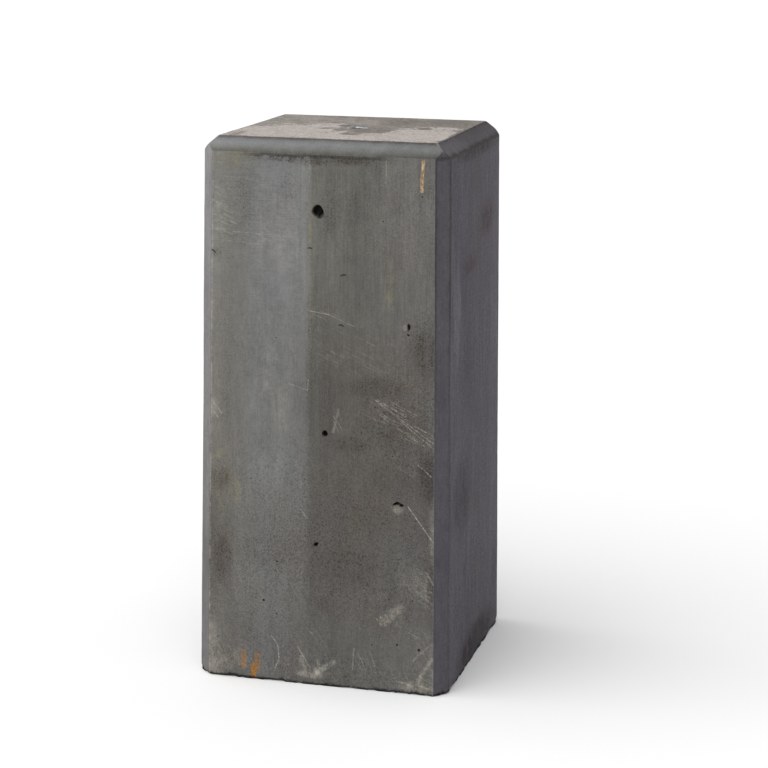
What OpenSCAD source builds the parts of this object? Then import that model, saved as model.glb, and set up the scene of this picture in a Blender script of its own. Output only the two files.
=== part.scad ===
// Precast concrete column base block with a threaded steel socket cast into its top.
// It stands on its underside, and a post shoe or a levelling bolt screws into the socket.
// The sides lean out a little towards the foot, so that the block slips out of its mould.
// Origin: centre of the underside. +Z up, -Y the face with the large air holes.

/* [Block] */
// Width of the square block at the level of its top
top_width = 180; // [140:1:300]
// Width of the square block at its foot
foot_width = 190; // [140:1:320]
// Height of the block
block_height = 400; // [200:5:800]

/* [Chamfers] */
// Width and height of the chamfer round the top
top_chamfer = 10; // [4:0.5:25]
// Width of the chamfer on each upright edge, measured along either side
edge_chamfer = 9; // [4:0.5:25]

/* [Threaded socket] */
// Outside diameter of the socket
socket_diameter = 16; // [14:0.5:30]
// Length of the socket
socket_length = 60; // [55:1:120]
// Diameter of the tapped bore, inside the thread's crests
bore_diameter = 10.2; // [6.8:0.1:11]
// Depth of the tapped bore below the socket's rim
bore_depth = 45; // [20:1:50]
// Diameter of the countersink at the bore's mouth
countersink_diameter = 12.6; // [11.2:0.1:13.4]

/* [Air holes] */
// Scale of the air holes that the mix left in the front face
air_hole_scale = 1; // [0.5:0.1:2]

/* [Hidden] */

$fn = 96;
concrete_grey = [0.40, 0.41, 0.40];
zinc_grey = [0.72, 0.74, 0.76];

// How far cutting shapes run past the faces they cut.
overrun = 5;
// Half the 90 degree countersink's difference in diameter is its depth.
countersink_depth = (countersink_diameter - bore_diameter) / 2;
// A drill leaves a cone of 118 degrees at the bottom of the bore.
drill_tip_depth = bore_diameter / 2 / tan(59);

// Each air hole: place across the front face as a share of its half width, height as a
// share of the block's height, and diameter.
air_holes = [
    [-0.04, 0.875, 9.0],
    [ 0.03, 0.475, 4.6],
    [ 0.62, 0.356, 6.0],
    [-0.04, 0.267, 3.4],
    [ 0.68, 0.677, 4.0],
];

// Width of the block across its sides at height z.
function width_at(z) = foot_width + (top_width - foot_width) * z / block_height;

// Outline seen from one side: leaning sides and a chamfered top.
module side_outline() {
    shoulder = block_height - top_chamfer;
    half_foot = foot_width / 2;
    half_shoulder = width_at(shoulder) / 2;
    half_top = half_shoulder - top_chamfer;
    polygon([
        [-half_foot, 0], [half_foot, 0],
        [half_shoulder, shoulder], [half_top, block_height],
        [-half_top, block_height], [-half_shoulder, shoulder],
    ]);
}

// Outline seen along a diagonal: the two chamfered upright edges lean like the sides.
module corner_outline() {
    half_foot = (foot_width - edge_chamfer) * sqrt(2) / 2;
    half_top = (top_width - edge_chamfer) * sqrt(2) / 2;
    polygon([
        [-half_foot, 0], [half_foot, 0],
        [half_top, block_height], [-half_top, block_height],
    ]);
}

// An outline in the XZ plane carried through the whole block, turned about Z.
module carried_through(turn) {
    depth = 2 * foot_width + 2 * top_width;
    rotate([0, 0, turn])
        translate([0, depth / 2, 0])
            rotate([90, 0, 0])
                linear_extrude(height = depth) children();
}

// The bare block: what two side outlines and two corner outlines have in common.
module block_body() {
    intersection() {
        carried_through(0) side_outline();
        carried_through(90) side_outline();
        carried_through(45) corner_outline();
        carried_through(135) corner_outline();
    }
}

// Round pits, half sunk into the leaning front face.
module air_hole_pits() {
    for (hole = air_holes) {
        z = hole[1] * block_height;
        half = width_at(z) / 2;
        translate([hole[0] * half, -half, z])
            sphere(d = hole[2] * air_hole_scale, $fn = 32);
    }
}

module concrete_block() {
    color(concrete_grey)
    difference() {
        block_body();
        translate([0, 0, block_height - socket_length])
            cylinder(d = socket_diameter, h = socket_length + overrun);
        air_hole_pits();
    }
}

// Closed steel bush, flush with the block's top, with a blind tapped bore.
module threaded_socket() {
    color(zinc_grey)
    translate([0, 0, block_height])
    difference() {
        translate([0, 0, -socket_length])
            cylinder(d = socket_diameter, h = socket_length);
        translate([0, 0, -bore_depth])
            cylinder(d = bore_diameter, h = bore_depth + overrun);
        translate([0, 0, -countersink_depth])
            cylinder(d1 = bore_diameter, d2 = countersink_diameter, h = countersink_depth);
        translate([0, 0, -bore_depth - drill_tip_depth])
            cylinder(d1 = 0, d2 = bore_diameter, h = drill_tip_depth);
    }
}

concrete_block();
threaded_socket();
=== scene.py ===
"""Precast concrete column base block with a threaded steel socket in its top.

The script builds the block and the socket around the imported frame, each as a numpy surface, gives
them procedural finishes, and sets up a plain studio. It is laid out as an add-on and run as a script.
Lengths are millimetres inside the shape and finish code, and metres in Blender.
"""

import math
from functools import reduce
from operator import and_, or_
from types import SimpleNamespace

import bpy
import numpy as np
from bpy.props import FloatProperty, FloatVectorProperty, PointerProperty
from bpy.types import Operator, Panel, PropertyGroup
from mathutils import Matrix, Vector


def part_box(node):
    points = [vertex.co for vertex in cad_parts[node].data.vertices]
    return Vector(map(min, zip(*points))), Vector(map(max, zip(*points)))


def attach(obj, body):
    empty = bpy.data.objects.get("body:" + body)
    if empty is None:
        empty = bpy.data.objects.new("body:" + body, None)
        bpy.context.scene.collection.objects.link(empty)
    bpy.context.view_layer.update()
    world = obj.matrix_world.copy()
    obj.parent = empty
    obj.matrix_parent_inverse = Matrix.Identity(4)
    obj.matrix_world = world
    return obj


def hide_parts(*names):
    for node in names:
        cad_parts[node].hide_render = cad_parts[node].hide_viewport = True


bl_info = {
    "name": "Column Base Block",
    "version": (1, 0, 0),
    "blender": (4, 5, 0),
    "location": "View3D > Sidebar > Column Base",
    "description": "Builds a precast concrete column base block with a threaded socket",
    "category": "Add Mesh",
}

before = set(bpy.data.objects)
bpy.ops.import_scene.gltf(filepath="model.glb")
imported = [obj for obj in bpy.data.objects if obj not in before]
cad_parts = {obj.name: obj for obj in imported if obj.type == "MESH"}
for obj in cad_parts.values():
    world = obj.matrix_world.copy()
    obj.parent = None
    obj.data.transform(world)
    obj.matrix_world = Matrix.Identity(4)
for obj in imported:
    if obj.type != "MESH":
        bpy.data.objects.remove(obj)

MM = 0.001
BLOCK_LOW, BLOCK_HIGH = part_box("concrete_block")
SOCKET_LOW, SOCKET_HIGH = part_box("threaded_socket")

# How brightly the studio lights each face or edge, as the share of white that a white one shows.
FRONT_LIGHT = 1.31
RIGHT_LIGHT = 1.12
TOP_LIGHT = 1.27
LEFT_LIGHT = 1.43
FRONT_BEVEL_LIGHT = 1.4


def tone(red, green, blue, light=1.0):
    """Linear colour of a display colour from 0 to 255, divided by how brightly its face is lit."""
    shares = (value / 255 for value in (red, green, blue))
    return tuple(
        (c / 12.92 if c <= 0.04045 else ((c + 0.055) / 1.055) ** 2.4) / light for c in shares
    )


# ---------------------------------------------------------------------------------------------
# Settings
# ---------------------------------------------------------------------------------------------


def length_property(name, description, default):
    """A length in metres, shown with its unit."""
    return FloatProperty(
        name=name, description=description, default=default, min=0.0, unit="LENGTH", precision=4
    )


def colour_property(name, description, default):
    """A colour that the user picks."""
    return FloatVectorProperty(
        name=name, description=description, default=default, min=0.0, max=1.0, subtype="COLOR"
    )


class ColumnBaseBlockSettings(PropertyGroup):
    """Sizes and colours of the concrete block."""

    foot_width: length_property(
        "Foot width", "Width of the block at its foot", BLOCK_HIGH.x - BLOCK_LOW.x
    )
    top_width: length_property("Top width", "Width of the block at the level of its top", 0.180)
    height: length_property("Height", "Height of the block", BLOCK_HIGH.z)
    top_chamfer: length_property("Top chamfer", "Chamfer round the top", 0.010)
    edge_chamfer: length_property("Edge chamfer", "Chamfer on each upright edge", 0.009)
    arris_wear: length_property("Arris wear", "How far the sharp edges are rubbed round", 0.0007)
    grey: colour_property("Concrete", "Colour of the bare concrete", (0.170, 0.168, 0.160))
    bloom: colour_property(
        "Lime bloom", "Colour of the lime bloom on the top", tone(186, 177, 171, TOP_LIGHT)
    )
    rust: colour_property("Rust", "Colour of the rust marks", (0.24, 0.115, 0.03))


class ThreadedSocketSettings(PropertyGroup):
    """Sizes and colour of the threaded socket."""

    diameter: length_property(
        "Diameter", "Outside diameter of the socket", SOCKET_HIGH.x - SOCKET_LOW.x
    )
    length: length_property("Length", "Length of the socket", SOCKET_HIGH.z - SOCKET_LOW.z)
    bore_diameter: length_property("Bore", "Diameter inside the thread's crests", 0.0102)
    thread_diameter: length_property("Thread", "Diameter at the thread's roots", 0.012)
    pitch: length_property("Pitch", "Distance between two turns of the thread", 0.00175)
    bore_depth: length_property("Bore depth", "Depth of the bore below the rim", 0.045)
    mouth_diameter: length_property("Mouth", "Diameter of the countersink at the rim", 0.0126)
    zinc: colour_property("Zinc", "Colour of the zinc plating", (0.62, 0.66, 0.72))


class StudioSettings(PropertyGroup):
    """Camera, lights and floor."""

    azimuth: FloatProperty(
        name="Azimuth",
        description="How far the camera stands round to the right of the front",
        default=math.radians(14.63),
        subtype="ANGLE",
    )
    elevation: FloatProperty(
        name="Elevation",
        description="How far the camera looks down",
        default=math.radians(12.57),
        subtype="ANGLE",
    )
    roll: FloatProperty(
        name="Roll",
        description="How far the camera leans about its own axis",
        default=math.radians(0.49),
        subtype="ANGLE",
    )
    camera_place: FloatVectorProperty(
        name="Camera place",
        description="Where the camera stands",
        default=(0.4330, -1.5738, 0.5708),
        subtype="TRANSLATION",
        unit="LENGTH",
    )
    lens: FloatProperty(
        name="Lens",
        description="Focal length on a 36 mm sensor, in millimetres",
        default=103.84,
        unit="CAMERA",
    )
    key_strength: FloatProperty(
        name="Key light", description="Strength of the soft light from the front left", default=2.8
    )
    sky_strength: FloatProperty(
        name="Sky", description="Strength of the even light from all round", default=0.55
    )
    floor: colour_property("Floor", "Colour of the floor", (0.9, 0.9, 0.9))


# ---------------------------------------------------------------------------------------------
# Shapes
# ---------------------------------------------------------------------------------------------


# Odd multipliers that scramble a lattice corner's three whole numbers and the seed.
SCRAMBLE_X, SCRAMBLE_Y, SCRAMBLE_Z, SCRAMBLE_SEED = 73856093, 19349663, 83492791, 50331653
SCRAMBLE_AGAIN = 73244475
LOW_32_BITS = 0xFFFFFFFF


def lattice_noise(points, cell, seed):
    """Smooth random value from -1 to 1 at each point.

    Every corner of a lattice of the given cell size gets a random number from a hash of its place.
    A point blends the eight corners round it by the smooth step 3t^2 - 2t^3 along each axis.
    """
    place = points / cell
    base = np.floor(place).astype(np.int64)
    t = place - base
    t = t * t * (3 - 2 * t)
    total = np.zeros(points.shape[:-1])
    for corner in range(8):
        step = np.array([corner & 1, corner >> 1 & 1, corner >> 2])
        a, b, c = np.moveaxis(base + step, -1, 0)
        mixed = a * SCRAMBLE_X ^ b * SCRAMBLE_Y ^ c * SCRAMBLE_Z ^ seed * SCRAMBLE_SEED
        mixed &= LOW_32_BITS
        for _ in range(2):
            mixed = ((mixed ^ mixed >> 16) * SCRAMBLE_AGAIN) & LOW_32_BITS
        mixed ^= mixed >> 16
        total += np.prod(np.where(step, t, 1 - t), axis=-1) * (mixed / 2**31 - 1)
    return total


def layered_noise(points, cell, seed):
    """Three lattice noises, each with half the cell size and half the strength of the last, added
    and scaled back to -1 to 1."""
    layers = (lattice_noise(points, cell / 2**i, seed + i) / 2**i for i in range(3))
    return sum(layers) / 1.75


def smooth_step(low, high, value):
    """0 below low, 1 above high, and 3t^2 - 2t^3 between."""
    t = np.clip((value - low) / (high - low), 0, 1)
    return t * t * (3 - 2 * t)


GAP_GROWTH = 0.45  # how fast the grid opens up past a crowded spot
GAP_SAMPLES = 8001  # places at which the wanted gap is worked out


def crowded_lines(length, coarse, spots):
    """Places of grid lines from 0 to length, crowded round some spots.

    The wanted gap at a place is the smallest of the coarse gap and, for each spot (place, reach,
    fine gap), the fine gap plus the growth times the distance past its reach. The lines lie where
    the running total of 1 / gap passes whole numbers, stretched a little to end at the length.
    """
    x = np.linspace(0, length, GAP_SAMPLES)
    gap = np.full_like(x, coarse)
    for place, reach, fine in spots:
        gap = np.minimum(gap, fine + np.maximum(np.abs(x - place) - reach, 0) * GAP_GROWTH)
    total = np.concatenate([[0], np.cumsum((1 / gap)[1:] * np.diff(x))])
    count = int(round(total[-1]))
    return np.interp(np.linspace(0, total[-1], count + 1), total, x)


def normals_of(points):
    """Outward unit normals of a grid of points whose columns close into a ring."""
    across = np.roll(points, -1, axis=1) - np.roll(points, 1, axis=1)
    along = np.gradient(points, axis=0)
    normal = np.cross(across, along)
    return normal / np.maximum(np.linalg.norm(normal, axis=-1, keepdims=True), 1e-12)


def ring_mesh(name, points, first, last, attributes=None):
    """Object whose mesh is a stack of rings of points, closed by a fan to one point at each end.

    points has the shape (rings, places round a ring, 3), in millimetres. Rings run upwards on an
    outer wall and places run anticlockwise seen from above, so that faces point outwards.
    """
    rings, around, _ = points.shape
    vertices = np.vstack([points.reshape(-1, 3), [first], [last]]) * MM
    ring = np.arange(rings - 1)[:, None] * around
    here = np.arange(around)[None, :]
    beside = (here + 1) % around
    quads = np.stack(
        [ring + here, ring + beside, ring + around + beside, ring + around + here], axis=-1
    ).reshape(-1, 4)
    here, beside = here[0], beside[0]
    top = (rings - 1) * around
    low_fan = np.stack([beside, here, np.full(around, rings * around)], axis=-1)
    high_fan = np.stack([top + here, top + beside, np.full(around, rings * around + 1)], axis=-1)
    corners = np.concatenate([quads.ravel(), low_fan.ravel(), high_fan.ravel()])
    counts = np.concatenate([np.full(len(quads), 4), np.full(2 * around, 3)])
    mesh = bpy.data.meshes.new(name)
    mesh.vertices.add(len(vertices))
    mesh.vertices.foreach_set("co", vertices.astype(np.float32).ravel())
    mesh.loops.add(len(corners))
    mesh.loops.foreach_set("vertex_index", corners.astype(np.int32))
    mesh.polygons.add(len(counts))
    mesh.polygons.foreach_set(
        "loop_start", np.concatenate([[0], np.cumsum(counts)[:-1]]).astype(np.int32)
    )
    mesh.update(calc_edges=True)
    mesh.shade_smooth()
    for key, values in (attributes or {}).items():
        layer = mesh.attributes.new(key, "FLOAT_VECTOR", "POINT")
        padded = np.vstack([values.reshape(-1, 3), values[0, 0], values[-1, 0]])
        layer.data.foreach_set("vector", padded.astype(np.float32).ravel())
    mesh.validate()
    piece = bpy.data.objects.new(name, mesh)
    bpy.context.scene.collection.objects.link(piece)
    return piece


class BlockShape:
    """The bare block as a surface of two lengths, in millimetres.

    s runs round the outline at the foot, anticlockwise from the front face's left edge. v runs
    along the profile: from the underside's centre to the foot's edge, up the side, over the top
    chamfer, across the top to the socket, down the socket's pocket and in to its centre.
    """

    BLUNT = 1.3  # what is left of the upright chamfer where the top chamfers meet

    def __init__(self, block, socket):
        self.foot = block.foot_width / MM / 2
        self.height = block.height / MM
        self.cut = block.edge_chamfer / MM
        bevel = block.top_chamfer / MM
        self.shoulder = self.height - bevel
        self.lean = (self.foot - block.top_width / MM / 2) / self.height
        shoulder_half = self.foot - self.lean * self.shoulder
        top_half = shoulder_half - bevel
        self.socket_radius = socket.diameter / MM / 2
        pocket = socket.length / MM
        self.flat_run = 2 * (self.foot - self.cut)
        self.cut_run = self.cut * math.sqrt(2)
        self.quarter = self.flat_run + self.cut_run
        self.round_trip = 4 * self.quarter
        floor = self.height - pocket
        self.heights = [0, 0, self.shoulder, self.height, self.height, floor, floor]
        self.halves = [0, self.foot, shoulder_half, top_half, top_half, top_half, top_half]
        slope = math.hypot(self.shoulder, self.foot - shoulder_half)
        across_top = top_half - self.socket_radius
        chamfer = bevel * math.sqrt(2)
        steps = [0, self.foot, slope, chamfer, across_top, pocket, self.socket_radius]
        self.runs = np.cumsum(steps)
        self.v_foot, self.v_shoulder, self.v_top, self.v_rim = self.runs[1:5]
        self.v_mitre = self.v_shoulder + (self.cut - self.BLUNT) / 2 * math.sqrt(2)

    def outline(self, s, half, cut):
        """Point on a square of the given half width with its corners cut off.

        Each quarter is a flat run and a cut, laid along the front and turned by quarter turns.
        """
        turns, along = np.divmod(s % self.round_trip, self.quarter)
        on_cut = along > self.flat_run
        t = np.where(on_cut, (along - self.flat_run) / self.cut_run, along / self.flat_run)
        flat = half - cut
        x = np.where(on_cut, flat + cut * t, flat * (2 * t - 1))
        y = np.where(on_cut, cut * t - half, -half)
        turn = turns * math.pi / 2
        return x * np.cos(turn) - y * np.sin(turn), x * np.sin(turn) + y * np.cos(turn)

    def sharp(self, s, v):
        """Point of the block with sharp edges: the outline of that height, drawn towards the
        socket's circle across the top, where angle is kept."""
        half = np.interp(v, self.runs, self.halves)
        cut_places = [0, self.v_foot, self.v_shoulder, self.v_mitre]
        cut = np.interp(v, cut_places, [0, self.cut, self.cut, self.BLUNT])
        x, y = self.outline(s, half, cut)
        angle = np.arctan2(y, x)
        pull = np.interp(v, [self.v_top, self.v_rim], [0, 1])
        radius = np.interp(v, self.runs[-2:], [self.socket_radius, 0])
        x = x * (1 - pull) + radius * np.cos(angle) * pull
        y = y * (1 - pull) + radius * np.sin(angle) * pull
        return np.stack([x, y, np.interp(v, self.runs, self.heights)], axis=-1)

    def worn(self, s, v, wear):
        """The sharp surface averaged over a window of the given half width, which rounds edges."""
        steps = np.linspace(-1, 1, 5)
        last = self.runs[-1]
        total = 0
        for a in steps:
            for b in steps:
                total = total + self.sharp(s + a * wear, np.clip(v + b * wear, 0.0, last))
        return total / len(steps) ** 2


# Air holes of the front face: across, height, half width, half height, depth, and how far the ends
# of the hole hang down.
AIR_HOLES = [
    (-3.6, 350.2, 4.2, 4.1, 6.5, 0.0), (-1.6, 348.0, 2.8, 3.0, 2.6, 0.0),
    (2.8, 190.2, 2.1, 2.2, 4.5, 0.3), (57.2, 142.6, 3.6, 1.1, 3.6, 1.5),
    (60.2, 141.4, 1.5, 1.1, 2.6, 0.0), (-3.7, 107, 1.5, 1.4, 3.0, 0.0),
    (-2.4, 108.2, 0.9, 0.9, 1.6, 0.0), (63.6, 271, 1.0, 2.2, 2.4, 0.0),
]

LARGE_HOLE = 2.5  # the half width from which an air hole is large

# Chips: centre of the ball that breaks the edge away, and its radius.
CHIPS = [
    ((90.4, -94.6, 309), 3.4), ((90.0, -94.4, 300), 2.8), ((89.6, -94.4, 262), 2.4),
    ((88.8, -94.8, 222), 2.2), ((-96, -88, 2), 4.0), ((94, -96, -1), 4.6), ((60, -97, -1.5), 3.6),
    ((42, -97, -2.2), 3.6), ((24, -97, -1.8), 3.4), ((-8, -97, -2.2), 3.6), ((-31, -97, -2), 3.6),
    ((-66, -97, -1.5), 3.4), ((98, -52, -1.8), 4.2), ((98, -14, -2), 4.0), ((98, 10, -1.5), 4.4),
    ((98, 48, -2), 4.2), ((97, 86, 0), 5.0), ((84, 96, 394), 4.5), ((-85.5, 86, 396), 4.4),
    ((-40, 97, -1), 4.5), ((33, 97, -1.5), 4.0), ((-97, 30, -1), 4.5), ((-97, -20, -2), 4.0),
]

# Soft patches in the concrete's colour, by face and kind: across, up, half width, half height,
# strength. Across and up are in the plane of the face, and on the top they are x and y.
PATCHES = {
    ("front", "dark"): [
        (77, 256, 14, 22, 0.55), (79, 163, 9, 22, 0.7), (84, 85, 5, 18, 0.6), (-75, 92, 9, 22, 0.6),
        (-76, 152, 10, 12, 0.6), (3, 62, 8, 7, 0.4), (-26, 366, 9, 16, 0.25),
        (-57, 354, 8, 34, 0.28), (-84, 120, 6, 50, 0.3), (-70, 230, 6, 90, 0.2),
        (42, 226, 26, 10, 0.5), (24, 183, 16, 7, 0.5), (56, 196, 30, 24, 0.4),
        (5, 350, 9, 22, 0.35), (24, 352, 7, 18, 0.35), (36, 128, 34, 22, 0.3),
        (22, 92, 30, 20, 0.35), (52, 160, 24, 20, 0.35), (4, 215, 6, 70, 0.3),
        (-8, 240, 4, 60, 0.3), (-38, 100, 24, 18, 0.35), (-4, 386.5, 50, 4, 0.7),
        (-78, 318, 5, 3, 0.5),
    ],
    ("front", "pale"): [
        (-82, 350, 8, 14, 0.25), (-85, 300, 4, 60, 0.6), (-83, 205, 5, 10, 0.55),
        (-85, 26, 8, 24, 0.5), (-80, 9, 12, 8, 0.7), (-60, 16, 8, 14, 0.3), (85, 22, 4, 18, 0.5),
        (70, 6, 12, 4, 0.5), (58, 138, 4.5, 3.5, 0.5), (61.2, 270.6, 2.2, 2.6, 0.6),
        (-4, 9, 12, 4, 0.5), (84, 120, 5, 26, 0.3), (-34, 340, 22, 40, 0.2),
        (-34, 215, 20, 30, 0.2), (72, 84, 16, 14, 0.25),
    ],
    ("front", "yellow"): [
        (-78, 166, 6, 12, 0.3), (-63, 142, 1.6, 16, 0.5), (-74, 148, 10, 26, 0.25),
        (-57, 389, 12, 3, 0.5), (-68, 384, 20, 8, 0.25), (50, 300, 4, 18, 0.3),
        (-9, 300, 2.5, 80, 0.25), (50, 230, 26, 12, 0.12), (34, 122, 22, 20, 0.12),
        (76, 8, 8, 8, 0.3),
    ],
    ("right", "dark"): [
        (-24, 228, 22, 34, 0.3), (-46, 136, 30, 30, 0.6), (-70, 360, 20, 40, 0.35),
        (-84, 160, 5, 90, 0.4), (10, 12, 66, 15, 0.85), (-36, 300, 16, 30, 0.3),
        (30, 330, 30, 12, 0.35), (0, 386, 84, 5, 0.6), (74, 48, 14, 26, 0.45),
    ],
    ("right", "pale"): [
        (-62, 272, 12, 40, 0.8), (-70, 240, 10, 20, 0.4), (68, 250, 16, 110, 0.35),
        (68, 124, 7, 6, 0.8), (66, 82, 9, 8, 0.3), (40, 90, 18, 10, 0.3), (8, 245, 5, 20, 0.4),
        (-12, 100, 30, 20, 0.35),
    ],
    ("right", "yellow"): [
        (-18, 306, 24, 8, 0.6), (42, 334, 26, 15, 0.45), (-4, 364, 24, 9, 0.22),
        (0, 387, 80, 5, 0.35), (-22, 12, 26, 12, 0.45),
    ],
    ("top", "dark"): [
        (15, -12, 14, 25, 1.0), (-4, 68, 16, 14, 0.8), (-3, 10, 12, 7, 2.2), (19, 50, 13, 30, 1.6),
        (54, 60, 30, 22, 0.5), (11, 14, 10, 6, 0.7), (-8, -18, 5, 10, 0.6), (-21, -12, 4, 4, 1.6),
        (6, -45, 6, 3, 1.4), (50, 8, 5, 6, 1.4), (-70, -64, 4, 20, 0.5), (82, 0, 4, 80, 0.8),
        (-82, 0, 4, 80, 0.7), (0, 82, 80, 4, 0.6), (0, -82, 80, 3, 0.8),
    ],
    ("top", "pale"): [
        (-44, -42, 46, 48, 1.0), (-25, 6, 14, 18, 1.0), (22, -38, 10, 6, 1.2),
        (54, -40, 36, 50, 1.0), (62, 10, 20, 16, 0.7), (14, -66, 40, 22, 1.0), (76, 60, 5, 4, 0.6),
    ],
    ("top", "yellow"): [
        (-7, 36, 2.5, 6, 0.45),
    ],
    ("left", "dark"): [
        (-40, 130, 26, 40, 0.6), (44, 320, 30, 24, 0.5), (10, 389, 60, 4, 0.8),
    ],
    ("left", "pale"): [
        (20, 220, 34, 60, 0.5), (-60, 20, 26, 16, 0.7),
    ],
    ("left", "yellow"): [
        (40, 60, 20, 26, 0.5),
    ],
    ("back", "dark"): [
        (30, 200, 30, 50, 0.6), (-60, 60, 20, 34, 0.6), (0, 389, 70, 4, 0.8),
    ],
    ("back", "pale"): [
        (-30, 300, 36, 50, 0.5), (62, 22, 26, 18, 0.7),
    ],
    ("back", "yellow"): [
        (-50, 160, 14, 30, 0.5),
    ],
}

# Rubbed and pitted areas, given like the patches. "rubbed" scores fall gently to the right,
# "scored" scores fall steeply, and "pitted" is crowded with fine pits.
WEAR = {
    ("front", "rubbed"): [
        (-78, 348, 16, 18, 0.8), (-50, 332, 34, 5, 0.5), (-40, 312, 44, 5, 0.25),
        (54, 208, 24, 9, 0.6), (75, 194, 14, 9, 0.75), (70, 172, 22, 9, 0.35),
        (20, 252, 32, 18, 0.35), (2, 276, 16, 3, 0.5), (80, 86, 10, 20, 0.5), (76, 44, 12, 6, 0.6),
        (72, 8, 16, 5, 0.5),
    ],
    ("front", "scored"): [
        (-82, 204, 6, 12, 1.0), (-84, 270, 4, 60, 0.6), (-68, 28, 16, 24, 0.4), (32, 22, 6, 9, 0.6),
        (62, 18, 22, 14, 0.3), (-4, 30, 18, 14, 0.3), (12, 200, 4, 12, 0.8), (78, 30, 10, 16, 0.4),
        (53, 58, 9, 6, 0.5),
    ],
    ("front", "pitted"): [
        (20, 105, 110, 75, 0.85), (64, 200, 44, 50, 1.0), (-30, 60, 60, 60, 0.7),
        (0, 14, 92, 14, 0.8), (78, 262, 20, 24, 0.8), (60, 350, 50, 50, 0.3),
        (-80, 90, 16, 60, 0.7),
    ],
    ("right", "scored"): [
        (0, 200, 70, 150, 0.15),
    ],
    ("right", "rubbed"): [
        (64, 100, 14, 30, 0.4),
    ],
    ("right", "pitted"): [
        (0, 60, 90, 60, 0.4),
    ],
    ("left", "rubbed"): [
        (-20, 250, 40, 20, 0.6),
    ],
    ("left", "scored"): [
        (50, 160, 16, 40, 0.5),
    ],
    ("left", "pitted"): [
        (0, 110, 80, 90, 0.7),
    ],
    ("back", "rubbed"): [
        (20, 120, 40, 20, 0.6),
    ],
    ("back", "scored"): [
        (-50, 270, 16, 40, 0.5),
    ],
    ("back", "pitted"): [
        (10, 150, 80, 110, 0.7),
    ],
}


def patch_fields(shape, patches, kinds, s, v, points):
    """How strongly each kind of patch covers each point.

    A patch is its strength times a share that falls from 1 to 0 as e goes from 0.5 to 1.3, where e
    is the distance from its centre as a share of its size. Where patches of a kind overlap, the
    stronger counts. Patches keep to the flat faces, and end at the cut edges and bevels.
    """
    turn = s // shape.quarter
    on_side = (v >= shape.v_foot - 1) & (v <= shape.v_shoulder)
    on_side &= s % shape.quarter <= shape.flat_run + 0.01
    x, y, z = np.moveaxis(points, -1, 0)
    planes = {
        "front": (on_side & (turn == 0), x, z),
        "right": (on_side & (turn == 1), y, z),
        "back": (on_side & (turn == 2), -x, z),
        "left": (on_side & (turn == 3), -y, z),
        "top": ((v > shape.v_top - 0.3) & (v < shape.v_rim), x, y),
    }
    fields = {kind: np.zeros_like(s) for kind in kinds}
    for (face, kind), rows in patches.items():
        here, a, b = planes[face]
        for across, up, half_width, half_height, strength in rows:
            e = np.hypot((a - across) / half_width, (b - up) / half_height)
            cover = strength * np.clip((1.3 - e) / 0.8, 0, 1) * here
            fields[kind] = np.maximum(fields[kind], cover)
    return tuple(fields.values())


def block_relief(points, normals):
    """Moves the worn surface to the cast one, and returns it with the shade inside the hollows.

    The faces wave by a fraction of a millimetre. Near the foot they crumble inwards and upwards. An
    air hole sinks the front face by its depth times the root of 1 - e^3, where e is the distance
    from its centre as a share of its size, and a large one is lit at its lower right. A chip pushes
    each point inside a ball out to the ball's surface.
    """
    x, y, z = np.moveaxis(points, -1, 0)
    below_top = z < z.max() - 0.5
    from_socket = smooth_step(8, 16, np.hypot(x, y) + 20 * below_top)
    wave = 0.22 * lattice_noise(points, 70, 3) + 0.10 * layered_noise(points, 14, 11)
    depth = (0.05 - wave) * smooth_step(0, 1.5, z) * from_socket
    crumble = np.clip(layered_noise(points, 5, 61), 0, 1)
    underside = normals[..., 2] < -0.9
    depth += 2.0 * crumble * smooth_step(4.5, 0.5, z) * ~underside
    front = normals[..., 1] < -0.9
    ragged = 0.16 * layered_noise(points, 2.2, 31)
    hollow = np.zeros_like(x)
    for across, height, half_width, half_height, hole_depth, hang in AIR_HOLES:
        a = (x - across) / half_width
        b = (z - height + hang * a**2) / half_height
        e = np.hypot(a, b) + ragged
        sunk = np.where(front, np.sqrt(np.clip(1 - np.maximum(e, 0) ** 3, 0, 1)), 0)
        depth += np.maximum(hole_depth * sunk - np.maximum(depth, 0), 0)
        lit = 0.75 * smooth_step(-0.1, 1.0, (a - b) * 0.7) * (half_width > LARGE_HOLE)
        hollow = np.maximum(hollow, smooth_step(0.05, 0.6, sunk) * (1 - lit))
    points = points - normals * depth[..., None]
    outwards = np.abs(points[..., :2]).max(axis=-1) / np.abs(points[..., 0]).max()
    points[..., 2] += 3.2 * crumble * smooth_step(4, 0.5, z) * smooth_step(0.95, 0.985, outwards)
    rough = 0.9 * layered_noise(points, 4, 41)
    for centre, radius in CHIPS:
        away = points - np.array(centre)
        far = np.linalg.norm(away, axis=-1)
        reach = radius + rough
        push = np.where(far < reach, reach / np.maximum(far, 0.05), 1.0)
        points = np.array(centre) + away * push[..., None]
    points[..., 2] = np.maximum(points[..., 2], 0)
    return points, hollow


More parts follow.
